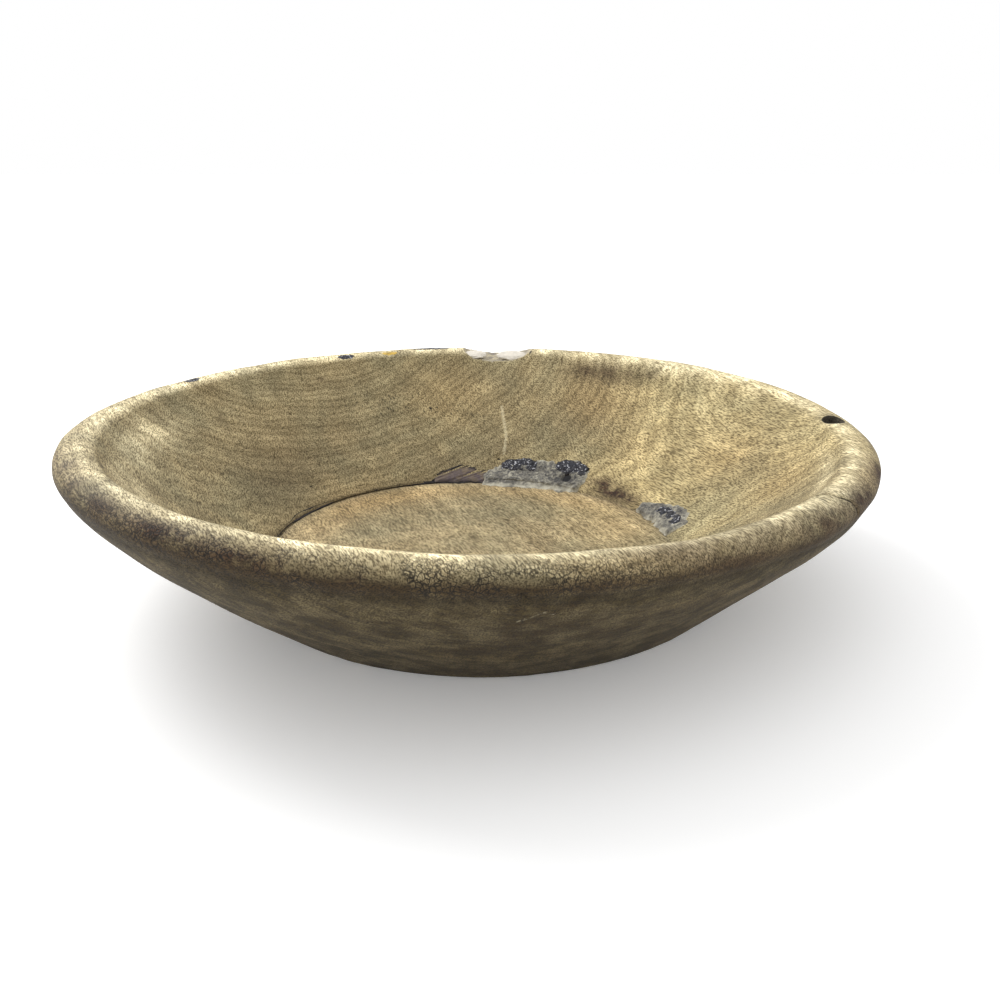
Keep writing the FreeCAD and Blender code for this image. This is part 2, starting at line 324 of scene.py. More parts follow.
# Lines on the wood, each a half width in mm, then points of its path: bearing in
# degrees, distance from the axis and height in mm
CRACKS = [
    (0.8, [(-34, 200, 92), (-33, 205, 94), (-33, 211, 94), (-32, 216, 92), (-32, 220, 87)]),
    (0.5, [(-84, 219, 84), (-83, 218, 80), (-84, 216, 77)]),
    (0.7, [(86, 134, 34), (84, 132, 33), (82, 130, 31)]),
    (0.5, [(145, 129, 31), (142, 127, 29), (138, 124, 27)]),
    (0.6, [(108, 117, 23), (106, 116, 22), (103, 114, 21)]),
    (0.6, [(52, 118, 24), (46, 117, 23), (36, 116, 22), (29, 116, 22)]),
    (0.8, [(79, 197, 91), (79, 201, 93), (79, 206, 94)]),
    (0.4, [(110, 20, 0), (113, 60, 0), (116, 104, 0)]),
    (0.4, [(292, 48, 0), (295, 82, 0), (293, 112, 0)]),
]
SCRATCHES = [
    (0.8, [(84, 167, 60), (83, 157, 52), (82, 147, 44), (82, 135, 35)]),
    (0.4, [(179, 186, 77), (173, 170, 63), (170, 155, 51)]),
    (0.5, [(-84, 207, 66), (-82, 210, 70), (-81, 212, 72), (-79, 209, 69)]),
    (0.4, [(152, 178, 70), (150, 160, 56)]),
    (0.4, [(-35, 188, 79), (-28, 175, 68)]),
]

# Soft marks: bearing in degrees, distance from the axis, height, length and breadth in
# mm, and strength
BROWN_STAINS = [
    (-156, 216, 90, 24, 6, 0.5), (-149, 214, 92, 20, 7, 0.7), (-141, 217, 90, 30, 7, 0.75),
    (-133, 217, 90, 40, 7, 0.9), (-122, 218, 90, 46, 7, 1.0), (-111, 219, 88, 46, 7, 0.95),
    (-100, 220, 86, 46, 6, 0.75), (-88, 220, 86, 46, 6, 0.6), (-76, 220, 86, 50, 5, 0.6),
    (-58, 219, 87, 70, 6, 0.75), (-41, 218, 89, 50, 8, 0.9), (-28, 218, 90, 50, 8, 1.0),
    (-15, 219, 89, 44, 7, 1.0), (-3, 219, 89, 30, 6, 0.7), (8, 207, 93, 26, 6, 0.5),
    (47, 121, 26, 26, 8, 1.0), (40, 119, 24, 24, 6, 0.8), (33, 118, 23, 20, 5, 0.7),
    (60, 193, 84, 46, 8, 0.75), (67, 193, 83, 20, 6, 0.5), (52, 195, 86, 20, 6, 0.4),
    (146, 140, 39, 60, 26, 0.34), (160, 138, 37, 50, 22, 0.28), (128, 150, 46, 70, 26, 0.20),
    (124, 191, 82, 6, 2, 0.7), (100, 128, 31, 50, 9, 0.35), (84, 140, 39, 30, 9, 0.3),
    (-66, 210, 93, 50, 9, 0.6), (-52, 210, 92, 50, 8, 0.4), (62, 160, 54, 60, 26, 0.3),
    (12, 182, 74, 110, 30, 0.18), (75, 70, 20, 90, 40, 0.22),
]
# Pale patches in the worn colour; those on the crest are a painted highlight as well as wear.
PALE_PATCHES = [
    (179, 188, 79, 80, 12, 0.8), (-155, 183, 74, 60, 12, 0.6),
    (-16, 193, 83, 80, 5, 0.6), (-104, 207, 93, 100, 6, 1.0),
    (-124, 207, 93, 60, 7, 0.7), (-32, 209, 92, 70, 8, 0.9), (-84, 209, 93, 60, 6, 0.3),
    (50, 202, 92, 160, 8, 0.8), (22, 204, 92, 80, 6, 0.3),
]
WARM_PATCHES = [
    (18, 166, 56, 70, 24, 0.6), (-4, 172, 64, 60, 22, 0.5), (62, 176, 66, 70, 22, 0.5),
    (98, 176, 66, 60, 26, 0.4), (44, 150, 46, 50, 20, 0.3), (150, 100, 20, 130, 22, 0.6),
    (70, 98, 20, 120, 14, 0.5), (40, 100, 20, 80, 22, 0.4), (120, 98, 20, 90, 18, 0.5),
    (-72, 214, 90, 60, 5, 0.6), (-20, 214, 92, 60, 5, 0.6), (10, 90, 20, 60, 30, 0.3),
    (-90, 170, 33, 90, 10, 0.5), (-60, 205, 64, 70, 6, 0.5), (-40, 190, 44, 90, 8, 0.4),
]
OPEN_VESSELS = [
    (106, 168, 61, 70, 14, 1.0), (94, 164, 57, 40, 10, 0.7), (118, 176, 67, 50, 10, 0.6),
    (60, 186, 78, 60, 14, 0.5), (-36, 210, 92, 80, 12, 0.7),
]


def chip_floor(along, across):
    """Level of the chip's broken face, and how far inside its outline a place is."""
    inside = 1 - (along / (CHIP_LENGTH / 2)) ** 2 - (across / (CHIP_WIDTH / 2)) ** 2
    return -(CHIP_DEPTH / 2) * np.sqrt(unit(inside)), inside


def cut_chip(turn, radius, height):
    """Break the chip out of the rim. Returns new radii and heights, and the broken mask."""
    along = bearing_gap(turn, CHIP_BEARING) * radius
    out, up = radius - CHIP_RADIUS, height - CHIP_HEIGHT
    cos, sin = math.cos(CHIP_TILT), math.sin(CHIP_TILT)
    across = out * cos + up * sin
    level = -out * sin + up * cos
    near = np.abs(along) < CHIP_LENGTH
    spots = np.stack([along, across, level], axis=-1)
    jag = np.zeros_like(along)
    fine = np.zeros_like(along)
    jag[near] = rough(spots[near] * (1, 1, 0), 6 * MM, 3) * CHIP_JAG
    fine[near] = rough(spots[near] * (1, 1, 0), 2.2 * MM, 9) * CHIP_GRIT
    floor, hollow = chip_floor(along + jag, across + jag * 0.6)
    floor = floor + fine + jag * 0.35
    broken = (hollow > 0) & (level > floor) & (np.abs(level) < CHIP_REACH) & near
    level = np.where(broken, floor, level)
    out = across * cos - level * sin
    up = across * sin + level * cos
    new_radius = np.where(broken, CHIP_RADIUS + out, radius)
    new_height = np.where(broken, CHIP_HEIGHT + up, height)
    return new_radius, new_height, broken


def gap_to_lines(lines, turn, radius, height):
    """Distance to the nearest of some lines, less that line's half width."""
    spots = round_spots(turn, radius, height)
    best = np.full(turn.shape, 5 * MM)
    for half, path in lines:
        line = np.array([(away * math.cos(math.radians(bearing)),
                          away * math.sin(math.radians(bearing)), up)
                         for bearing, away, up in path]) * MM
        for start, end in zip(line, line[1:]):
            side = end - start
            share = unit(((spots - start) @ side) / (side @ side))
            gap = np.linalg.norm(spots - start - share[..., None] * side, axis=-1)
            best = np.minimum(best, gap - half * MM)
    return best


def soft_marks(marks, turn, radius, height):
    """How strongly some soft marks show at each place, from 0 to 1."""
    total = np.zeros(turn.shape)
    for bearing, away, up, long, broad, strength in marks:
        along = bearing_gap(turn, math.radians(bearing)) * radius / (long * MM / 2)
        off = np.hypot(radius - away * MM, height - up * MM) / (broad * MM)
        total += strength * np.exp(-along ** 2 - off ** 2)
    return unit(total)


def unevenness(shape, turn, radius, height):
    """How far the carver's surface stands out at each place, in metres."""
    spots = round_spots(turn, radius, height)
    swell = rough(spots, 70 * MM, 1) * 1.4 + rough(spots, 28 * MM, 2) * 0.6
    strokes = np.stack([turn * 0.16, radius * 0.35, height * 0.35], axis=-1)
    return shape.tool_marks * (swell + rough(strokes, 11 * MM, 4) * 0.4)


def wood_inside(shape, radius):
    """Height of the bowl's inside at a distance from its axis, and its slope there."""
    rows, _ = section_rows(shape)
    inner = rows[int(np.argmax(rows[:, 1])):][::-1]
    height = np.interp(radius, inner[:, 0], inner[:, 1])
    further = np.interp(radius + 0.5 * MM, inner[:, 0], inner[:, 1])
    return height, (further - height) / (0.5 * MM)


# ---- Meshes ----

def column_turns(count):
    """Bearings of the columns, closer together where the rim has small features.

    Each spot is its bearing and half width in degrees, and how much closer they stand.
    """
    spots = [(math.degrees(CHIP_BEARING), 8.5, 3.4), (FRONT_CRACK, 5, 3.2),
             (math.degrees(HOLE_BEARING), 3.4, 3.6)]
    for node in ("rim_pitch_left", "rim_pitch_back", "rim_wax_spot", "rim_pitch_sliver"):
        spots.append((math.degrees(node_spot(node)[0]), 4, 0.8))
    fine = np.radians(np.linspace(0, 360, 20001))
    weight = np.ones_like(fine)
    for centre, half, extra in spots:
        away = np.degrees(np.abs(bearing_gap(fine, math.radians(centre))))
        weight += extra / (1 + (away / half) ** 6)
    total = np.concatenate([[0], np.cumsum((weight[1:] + weight[:-1]) / 2)])
    return np.interp(np.arange(count) / count, total / total[-1], fine)


def ring_faces(first, count, second, next_count):
    """Faces between two rings of points, which may differ by one level."""
    faces = []
    if count == next_count:
        for i in range(count):
            j = (i + 1) % count
            faces.append((first + i, first + j, second + j, second + i))
    elif count == 2 * next_count:
        for i in range(next_count):
            j = (i + 1) % next_count
            faces.append((first + 2 * i, first + 2 * i + 1, first + (2 * i + 2) % count,
                          second + j, second + i))
    else:
        for i in range(count):
            j = (i + 1) % count
            faces.append((first + i, first + j, second + (2 * i + 2) % next_count,
                          second + 2 * i + 1, second + 2 * i))
    return faces


def finish_mesh(name, points, faces, material):
    """Make an object that stands for the CAD node of the same name, on the root body."""
    mesh = bpy.data.meshes.new(name)
    mesh.from_pydata([tuple(p) for p in points], [], faces)
    mesh.validate()
    mesh.polygons.foreach_set("use_smooth", [True] * len(mesh.polygons))
    mesh.materials.append(material)
    piece = bpy.data.objects.new(name, mesh)
    bpy.context.scene.collection.objects.link(piece)
    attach(piece, "root")
    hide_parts(name)
    return piece


def set_mark(piece, name, values):
    """Store one number for each point of a mesh, for its material to read."""
    layer = piece.data.attributes.new(name, "FLOAT", "POINT")
    layer.data.foreach_set("value", np.asarray(values, np.float32))


def carve_bowl(shape, material):
    """Build the carved block as one closed mesh, with its marks."""
    rows, levels = section_rows(shape)
    turns = column_turns(shape.columns)
    ahead = np.roll(rows, -1, axis=0) - np.roll(rows, 1, axis=0)
    ahead[0], ahead[-1] = (1, 0), (-1, 0)
    ahead /= np.linalg.norm(ahead, axis=1)[:, None]

    rings = [turns[::2 ** level] for level in levels]
    counts = [len(ring) for ring in rings]
    starts = [sum(counts[:index]) for index in range(len(counts))]
    total = sum(counts)
    which = np.repeat(np.arange(len(rows)), counts)
    turn = np.concatenate(rings)
    radius, height = rows[which].T
    out, up = ahead[which, 1], -ahead[which, 0]
    outer = which < np.argmax(rows[:, 1])

    depth = unevenness(shape, turn, radius, height)
    flat_foot = (height < FLAT_FOOT_TOP) & outer
    depth = np.where(flat_foot, -0.3 * np.abs(depth), depth)
    gap = gap_to_lines(CRACKS, turn, radius, height)
    depth -= CRACK_DEPTH * unit(1 - (gap + 0.3 * MM) / (0.8 * MM))

    # The dark thread's groove along the floor's left corner
    corner = np.hypot(radius - shape.floor_radius - 0.3 * MM, height - shape.floor_height)
    left = np.degrees(turn)
    along_left = unit((left - GROOVE_START) / 5) * unit((GROOVE_END - left) / 40)
    groove = unit(1 - corner / (1.3 * MM)) * along_left * ~outer
    depth -= GROOVE_DEPTH * groove

    # The hole in the rim
    along = bearing_gap(turn, HOLE_BEARING) * HOLE_RADIUS
    oval = np.hypot(along / (HOLE_LENGTH / 2), (radius - HOLE_RADIUS) / (HOLE_WIDTH / 2))
    crown = height > 0.9 * shape.crest_height
    hole = unit((HOLE_MOUTH - oval) / HOLE_SLOPE) * crown

    radius, height = radius + out * depth, height + up * depth - HOLE_DEPTH * hole ** 0.5
    radius, height, broken = cut_chip(turn, radius, height)
    height = np.maximum(height, 0)

    points = np.where(
        outer[:, None], place(shape, turn, radius, height, inside=False),
        place(shape, turn, radius, height))
    points[:, 2] = np.maximum(points[:, 2], 0)

    faces = []
    for index in range(len(rows) - 1):
        faces += ring_faces(starts[index], counts[index], starts[index + 1], counts[index + 1])
    points = np.vstack([points, points[:counts[0]].mean(0), points[starts[-1]:].mean(0)])
    for i in range(counts[0]):
        faces.append((total, (i + 1) % counts[0], i))
    for i in range(counts[-1]):
        faces.append((starts[-1] + i, starts[-1] + (i + 1) % counts[-1], total + 1))

    piece = finish_mesh("bowl_body", points, faces, material)
    inset = radius - shape.rim_radius
    drop = height - shape.crest_height
    # The crest mark, a narrow pale line just inside the crest's top and a wider band, is a painted
    # highlight along the inner edge as well as wear.
    crest = 0.9 * bell(inset + 14.5 * MM, 4 * MM)
    crest += 0.4 * bell(inset + 9 * MM, 8 * MM)
    crest *= height > shape.crest_height - 6 * MM
    face = bell(drop + 7 * MM, 7 * MM, 4) * (inset > -9 * MM)
    front_left = bell(bearing_gap(turn, CRACKLE_BEARING), CRACKLE_SPREAD, 4)
    # cove is painted shade under the lip, and nook is painted shade round the floor's corner.
    cove = bell(drop + 15 * MM, 3 * MM) * outer
    nook = np.exp(-corner / (3.5 * MM)) * ~outer * 0.55
    edge = unit(1 - (shape.floor_radius - radius) / (50 * MM))
    marks = {
        "crest": crest * ~broken,
        "patina": unit((shape.crest_height - 3.5 * MM - height) / (5 * MM)) * outer,
        # Painted shade under the lip, round the floor's corner and in the thread's groove.
        "grime_and_shade": unit(np.maximum.reduce([cove * 0.4, nook, groove * 0.8])),
        # Cracks are dark lines in the wood; the rim's hole is painted dark as shade out past its
        # mouth.
        "crack": np.minimum(gap / MM, np.where(crown, (oval - HOLE_DARK) * 5, FAR_AWAY)),
        "scratch": gap_to_lines(SCRATCHES, turn, radius, height) / MM,
        "stain": soft_marks(BROWN_STAINS, turn, radius, height),
        "pale": soft_marks(PALE_PATCHES, turn, radius, height),
        "warm": soft_marks(WARM_PATCHES, turn, radius, height),
        "crackle": face * front_left,
        "open": soft_marks(OPEN_VESSELS, turn, radius, height),
        "broken": broken.astype(float),
        "floor": (radius < shape.floor_radius) * ~outer * (0.35 + 0.65 * edge),
    }
    for name, values in marks.items():
        set_mark(piece, name, np.append(values, values[[0, -1]]))
    return piece


def slab(name, top, bottom, material):
    """Close a grid of top points and a grid of bottom points into one solid."""
    down, across = top.shape[:2]
    points = np.vstack([top.reshape(-1, 3), bottom.reshape(-1, 3)])
    under = down * across
    faces = []
    for i in range(down - 1):
        for j in range(across - 1):
            a, b = i * across + j, (i + 1) * across + j
            faces.append((a, a + 1, b + 1, b))
            faces.append((under + a, under + b, under + b + 1, under + a + 1))
    edge = list(range(across - 1))
    edge += [i * across + across - 1 for i in range(down - 1)]
    edge += [(down - 1) * across + j for j in range(across - 1, 0, -1)]
    edge += [i * across for i in range(down - 1, 0, -1)]
    for k, a in enumerate(edge):
        b = edge[(k + 1) % len(edge)]
        faces.append((b, a, under + a, under + b))
    piece = finish_mesh(name, points, faces, material)
    tidy = bmesh.new()
    tidy.from_mesh(piece.data)
    bmesh.ops.recalc_face_normals(tidy, faces=tidy.faces)
    tidy.to_mesh(piece.data)
    tidy.free()
    return piece


def bedded_patch(name, shape, material, slot, seed, steps, build, pit, brushed, outline):
    """A repair spread over the wood in the floor's corner, with ragged edges.

    build is how thick the patch is, how rough, and how much more it holds in the corner,
    pit the bearing and distance of a hole in it, brushed how deep its slanted strokes
    are, and outline rows of bearing in degrees and inner and outer distance in mm.
    """
    full, roughness, fillet = (part * MM for part in build)
    rows = np.array(sorted(outline), float)
    along, across = steps
    turn = np.linspace(rows[0, 0], rows[-1, 0], along)[:, None]
    side = np.linspace(-1.25, 1.25, across)[None, :]
    near = np.interp(turn, rows[:, 0], rows[:, 1]) * MM
    far = np.interp(turn, rows[:, 0], rows[:, 2]) * MM
    radius = (near + far) / 2 + side * (far - near) / 2
    turn = np.radians(turn) + 0 * side
    height, slope = wood_inside(shape, radius)
    spots = round_spots(turn, radius, height)
    ragged = rough(spots, 9 * MM, seed) * 0.30 + rough(spots, 3.2 * MM, seed + 1) * 0.22
    share = np.linspace(-1.12, 1.12, along)[:, None]
    reach = np.maximum(np.abs(side), np.abs(share) ** 6) + ragged
    body = np.clip(1 - reach ** 4, -0.5, 1)
    bumps = rough(spots, 5 * MM, seed + 2) * 0.8 + rough(spots, 2.2 * MM, seed + 3) * 0.6
    bumps += rough(spots, 1.1 * MM, seed + 4) * 0.35
    corner = bell(radius - shape.floor_radius - 1 * MM, 4.5 * MM)
    thick = full * body + roughness * bumps * unit(body) + fillet * corner * body
    slant = turn * radius + 0.9 * radius
    strokes = rough(np.stack([slant, 0.12 * radius, 0 * radius], axis=-1), 3.4 * MM, seed + 5)
    thick += brushed * MM * (strokes - 0.15) * unit(side + 1)
    feather = unit(1 - body * 1.3) + 0.9 * unit(-0.25 - side)
    hollow = np.zeros(turn.shape)
    if pit:
        away = np.hypot((turn - math.radians(pit[0])) * radius, (radius - pit[1] * MM))
        hollow = unit(1.9 - away / (2 * MM) - 0.6 * ragged)
        thick = np.where(hollow > 0, np.maximum(thick - 2 * MM * hollow, 0.25 * MM), thick)
        # A soft ring round the pit is painted shade as well.
        hollow = np.maximum(hollow, 0.25 * bell(away, 8 * MM))
    flat = np.sqrt(1 + slope ** 2)
    lift = thick + unevenness(shape, turn, radius, height)
    top = place(shape, turn, radius - slope / flat * lift, height + lift / flat)
    bottom = place(shape, turn, radius - slope / flat * PATCH_BEDDING,
                   height + PATCH_BEDDING / flat)
    piece = slab(name, top, bottom, material)
    set_mark(piece, "feather", np.tile(unit(feather).reshape(-1), 2))
    set_mark(piece, "pit", np.tile(hollow.reshape(-1), 2))
    return piece


def node_length(node, bearing):
    """How long a CAD node is round the rim, in metres."""
    low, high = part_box(node)
    size = high - low
    return max(size.x * abs(math.sin(bearing)), size.y * abs(math.cos(bearing)))


def lump(name, shape, material, slot, stretch_by, bumps, seed, tilt):
    """A pressed-in lump that fills its CAD node's place, rough all over."""
    bearing, away, middle = node_spot(name)
    ball = bmesh.new()
    bmesh.ops.create_icosphere(ball, subdivisions=LUMP_DETAIL, radius=1)
    tilt = CHIP_TILT + math.radians(tilt)
    cos, sin = math.cos(tilt), math.sin(tilt)
    half_length = stretch_by[0] * node_length(name, bearing) / 2
    half = (half_length, stretch_by[1] * MM, stretch_by[2] * MM)
    for vertex in ball.verts:
        spot = vertex.co.copy()
        swell = 1 + bumps * (noise.noise(spot * 1.7 + Vector((seed, 0, 0)))
                             + 0.5 * noise.noise(spot * 4.1 + Vector((0, seed, 0)))
                             + 0.3 * noise.noise(spot * 9.7 + Vector((0, 0, seed))))
        along, across, level = (spot[k] * half[k] * swell for k in range(3))
        out = across * cos - level * sin
        up = across * sin + level * cos + LUMP_RISE
        radius = away + out
        spot_turn = bearing + along / away
        vertex.co = Vector(place(shape, np.float64(spot_turn), np.float64(radius),
                                 np.float64(middle.z + up)))
    points = [v.co.copy() for v in ball.verts]
    faces = [[v.index for v in face.verts] for face in ball.faces]
    ball.free()
    return finish_mesh(name, points, faces, material)


def rim_plug(name, shape, material, slot, breadth, away, seed, rise):
    """A plug let into the rim: a thin lens that follows the rim's crown."""
    rows, _ = section_rows(shape)
    top_row = int(np.argmax(rows[:, 1]))
    band = rows[top_row - 16:top_row + 18]
    bearing = node_spot(name)[0]
    half_length = node_length(name, bearing) / 2
    away *= MM
    along, across = 56, 26
    share = np.linspace(-1, 1, along)[:, None]
    side = np.linspace(-1, 1, across)[None, :]
    taper = np.sqrt(unit(1 - share ** 2))
    wave = np.array([[noise.noise((s * 2.3, 1.1, seed)), noise.noise((s * 5.9, 7.1, seed))]
                     for s in share[:, 0]])
    width = breadth * MM / 2 * (taper + 0.3 * wave[:, 1:2] * taper)
    radius = away + 0.8 * MM * wave[:, :1] + width * side
    order = np.argsort(band[:, 0])
    height = np.interp(radius, band[order, 0], band[order, 1])
    turn = bearing + half_length * share * 1.05 / away * np.ones_like(side)
    dome = np.sqrt(unit(1 - side ** 2)) * taper
    spots = round_spots(turn, radius, height)
    bumps = rough(spots, 1.6 * MM, seed) * 0.25 * MM
    height += unevenness(shape, turn, radius, height)
    top = place(shape, turn, radius, height + (rise * MM + bumps) * dome - 0.12 * MM)
    bottom = place(shape, turn, radius, height - PLUG_DEPTH * dome - 0.3 * MM)
    return slab(name, top, bottom, material)


# ---- Material helpers ----

class Wires:
    """Adds nodes to a node tree and joins them."""

    def __init__(self, tree):
        self.tree = tree

    def add(self, kind, settings=None, **inputs):
        node = self.tree.nodes.new(kind)
        for key, value in (settings or {}).items():
            setattr(node, key, value)
        for key, value in inputs.items():
            self.feed(node.inputs[key.replace("_", " ")], value)
        return node

    def feed(self, socket, value):
        if isinstance(value, bpy.types.NodeSocket):
            self.tree.links.new(value, socket)
        elif hasattr(value, "__len__") and len(value) == 3 and socket.type == "RGBA":
            socket.default_value = (*value, 1)
        else:
            socket.default_value = value

    def math(self, operation, first, second=0.0, third=0.0, clamp=False):
        node = self.add("ShaderNodeMath", {"operation": operation, "use_clamp": clamp})
        for socket, value in zip(node.inputs, (first, second, third)):
            self.feed(socket, value)
        return node.outputs[0]

    def times(self, first, second, plus=0.0):
        """first times second, plus a third."""
        return self.math("MULTIPLY_ADD", first, second, plus)

    def remap(self, value, low, high, to_low=0.0, to_high=1.0):
        node = self.add("ShaderNodeMapRange", {"interpolation_type": "SMOOTHSTEP"})
        for socket, number in zip(node.inputs, (value, low, high, to_low, to_high)):
            self.feed(socket, number)
        return node.outputs[0]

    def mix(self, factor, first, second, blend="MIX"):
        node = self.add("ShaderNodeMix", {"data_type": "RGBA", "blend_type": blend})
        self.feed(node.inputs[0], factor)
        self.feed(node.inputs[6], first)
        self.feed(node.inputs[7], second)
        return node.outputs[2]

    def mark(self, name):
        return self.add("ShaderNodeAttribute", {"attribute_name": name}).outputs["Fac"]

    def place(self):
        return self.add("ShaderNodeTexCoord").outputs["Object"]

    def noise(self, vector, scale, detail=2.0, roughness=0.5, distortion=0.0):
        node = self.add("ShaderNodeTexNoise", Vector=vector, Scale=scale, Detail=detail,
                        Roughness=roughness, Distortion=distortion)
        return node.outputs["Fac"]

    def stretched(self, vector, turn, scale):
        """Coordinates turned so that X runs along the fibres, then scaled."""
        turned = self.add("ShaderNodeVectorRotate", {"rotation_type": "Z_AXIS"},
                          Vector=vector, Angle=-turn)
        scaled = self.add("ShaderNodeVectorMath", {"operation": "MULTIPLY"})
        self.feed(scaled.inputs[0], turned.outputs[0])
        self.feed(scaled.inputs[1], scale)
        return scaled.outputs[0]

    def bend(self, vector, texture, reach):
        """Push coordinates about by a noise texture's colour, by up to about half reach."""
        node = self.add("ShaderNodeVectorMath", {"operation": "MULTIPLY_ADD"})
        self.feed(node.inputs[0], texture.outputs["Color"])
        self.feed(node.inputs[1], (reach, reach, reach))
        self.feed(node.inputs[2], vector)
        return node.outputs[0]

    def scaled(self, value, factor, offset=0.0):
        """value times factor, plus offset, kept between 0 and 1."""
        return self.math("MULTIPLY_ADD", value, factor, offset, True)

    def group(self, tree, **inputs):
        return self.add("ShaderNodeGroup", {"node_tree": tree}, **inputs)


def new_group(name, inputs, outputs):
    """Start a shader node group with named sockets. Returns it, its wires and its ends."""
    tree = bpy.data.node_groups.new(name, "ShaderNodeTree")
    for label, default in inputs.items():
        socket = tree.interface.new_socket(label, in_out="INPUT", socket_type="NodeSocketFloat")
        socket.default_value = default
    for label in outputs:
        tree.interface.new_socket(label, in_out="OUTPUT", socket_type="NodeSocketFloat")
    start = tree.nodes.new("NodeGroupInput")
    end = tree.nodes.new("NodeGroupOutput")
    return tree, Wires(tree), start.outputs, end.inputs


def new_material(name):
    """Start a material. Returns it, its wires and its Principled shader."""
    material = bpy.data.materials.new(name)
    material.use_nodes = True
    wires = Wires(material.node_tree)
    return material, wires, material.node_tree.nodes["Principled BSDF"]


def finish_material(wires, shader, colour, roughness, relief, depth, strength=1.0):
    """Give a shader its colour, roughness and a bump of a given depth in metres."""
    bump = wires.add("ShaderNodeBump", Height=relief, Distance=depth, Strength=strength)
    wires.feed(shader.inputs["Base Color"], colour)
    wires.feed(shader.inputs["Roughness"], roughness)
    wires.feed(shader.inputs["Normal"], bump.outputs[0])


# ---- Shared effects ----

def grain_group(wood):
    """Growth rings round the tree's middle, vessels and fibres along the log."""
    tree, w, given, gives = new_group(
        "Wood Grain", {"Ring Gap": wood.ring_gap, "Fibre Gap": wood.fibre_gap},
        ("Rings", "Depth", "Pores", "Fibres", "Vessels", "Crackle"))
    turn = wood.grain_bearing
    spot = w.place()
    log = w.stretched(spot, turn, (0.18, 1, 1))
    drift = w.add("ShaderNodeTexNoise", Vector=log, Scale=20.0, Detail=3.0)
    parts = w.add("ShaderNodeSeparateXYZ", Vector=w.bend(log, drift, 0.014))
    across = w.math("SUBTRACT", parts.outputs[1], -wood.pith_across)
    rise = w.math("SUBTRACT", parts.outputs[2], wood.pith_up)
    from_pith = w.math("SQRT", w.math("ADD", w.math("POWER", across, 2), w.math("POWER", rise, 2)))
    count = w.math("DIVIDE", from_pith, given["Ring Gap"])
    slow = w.math("SINE", w.times(count, 1.9))
    fast = w.remap(w.math("SINE", w.times(count, 6.2832)), -0.2, 0.9)
    rings = w.times(fast, -0.6, w.times(slow, 0.25, 0.75))
    w.feed(gives["Rings"], rings)
    w.feed(gives["Depth"], from_pith)

    # Fibres are long soft streaks that wander a little, and vessels short dark dashes
    density = w.math("DIVIDE", 1.0, given["Fibre Gap"])
    wander = w.add("ShaderNodeTexNoise", Vector=log, Scale=95.0, Detail=1.0)
    w.feed(gives["Fibres"], w.noise(w.bend(log, wander, 0.005), density, 3.0, 0.55))
    vessel = w.bend(w.stretched(spot, turn, (0.30, 1, 1)), wander, 0.006)

    def dashes(share, largest, least):
        cells = w.add("ShaderNodeTexVoronoi", {"feature": "F1"}, Vector=vessel, Randomness=1.0)
        w.feed(cells.inputs["Scale"], w.times(density, share))
        chance = w.add("ShaderNodeSeparateColor", Color=cells.outputs["Color"])
        size = w.times(chance.outputs[0], largest, least)
        return w.remap(cells.outputs["Distance"], w.times(size, 0.6),
                       w.math("ADD", size, 0.08), 1.0, 0.0)

    w.feed(gives["Pores"], dashes(0.62, 0.36, -0.06))
    w.feed(gives["Vessels"], dashes(0.3, 0.4, 0.02))

    # The lip's dry skin has cracked into small plates
    ripple = w.add("ShaderNodeTexNoise", Vector=spot, Scale=300.0, Detail=1.0)
    plates = w.add("ShaderNodeTexVoronoi", {"feature": "DISTANCE_TO_EDGE"},
                   Vector=w.bend(spot, ripple, 0.0034), Scale=430.0)
    w.feed(gives["Crackle"], w.remap(plates.outputs["Distance"], 0.02, 0.14, 1.0, 0.0))
    return tree


def mottle_group():
    """Soft cloudy blotches and fine speckle, for dirt, patina and minerals alike."""
    tree, w, given, gives = new_group(
        "Mottle", {"Blotch": 40.0, "Speckle": 900.0}, ("Blotches", "Speckles", "Height"))
    place_at = w.place()
    cloudy = w.noise(place_at, given["Blotch"], 4.0, 0.6, 0.4)
    w.feed(gives["Blotches"], w.remap(cloudy, 0.35, 0.68))
    fine = w.noise(place_at, given["Speckle"], 2.0, 0.65)
    w.feed(gives["Speckles"], w.remap(fine, 0.42, 0.66))
    w.feed(gives["Height"], w.math("ADD", w.times(cloudy, 0.4), fine))
    return tree


# ---- Materials ----

# How far from the tree's middle, in metres, the sapwood starts and is full
SAP_DEPTHS = (0.236, 0.272)
# What the dark and light parts of the rings, patches and clouds leave of the wood's colour
RING_TONES = ((0.74, 0.71, 0.65), (1.14, 1.13, 1.11))
PATCH_TONES = ((0.78, 0.77, 0.74), (1.18, 1.18, 1.17))
CLOUD_TONES = ((1.14, 1.13, 1.12), (0.82, 0.83, 0.84))
# Near black: painted shade in and round a pit in the lime.
PIT_SHADE = (0.006, 0.006, 0.007)


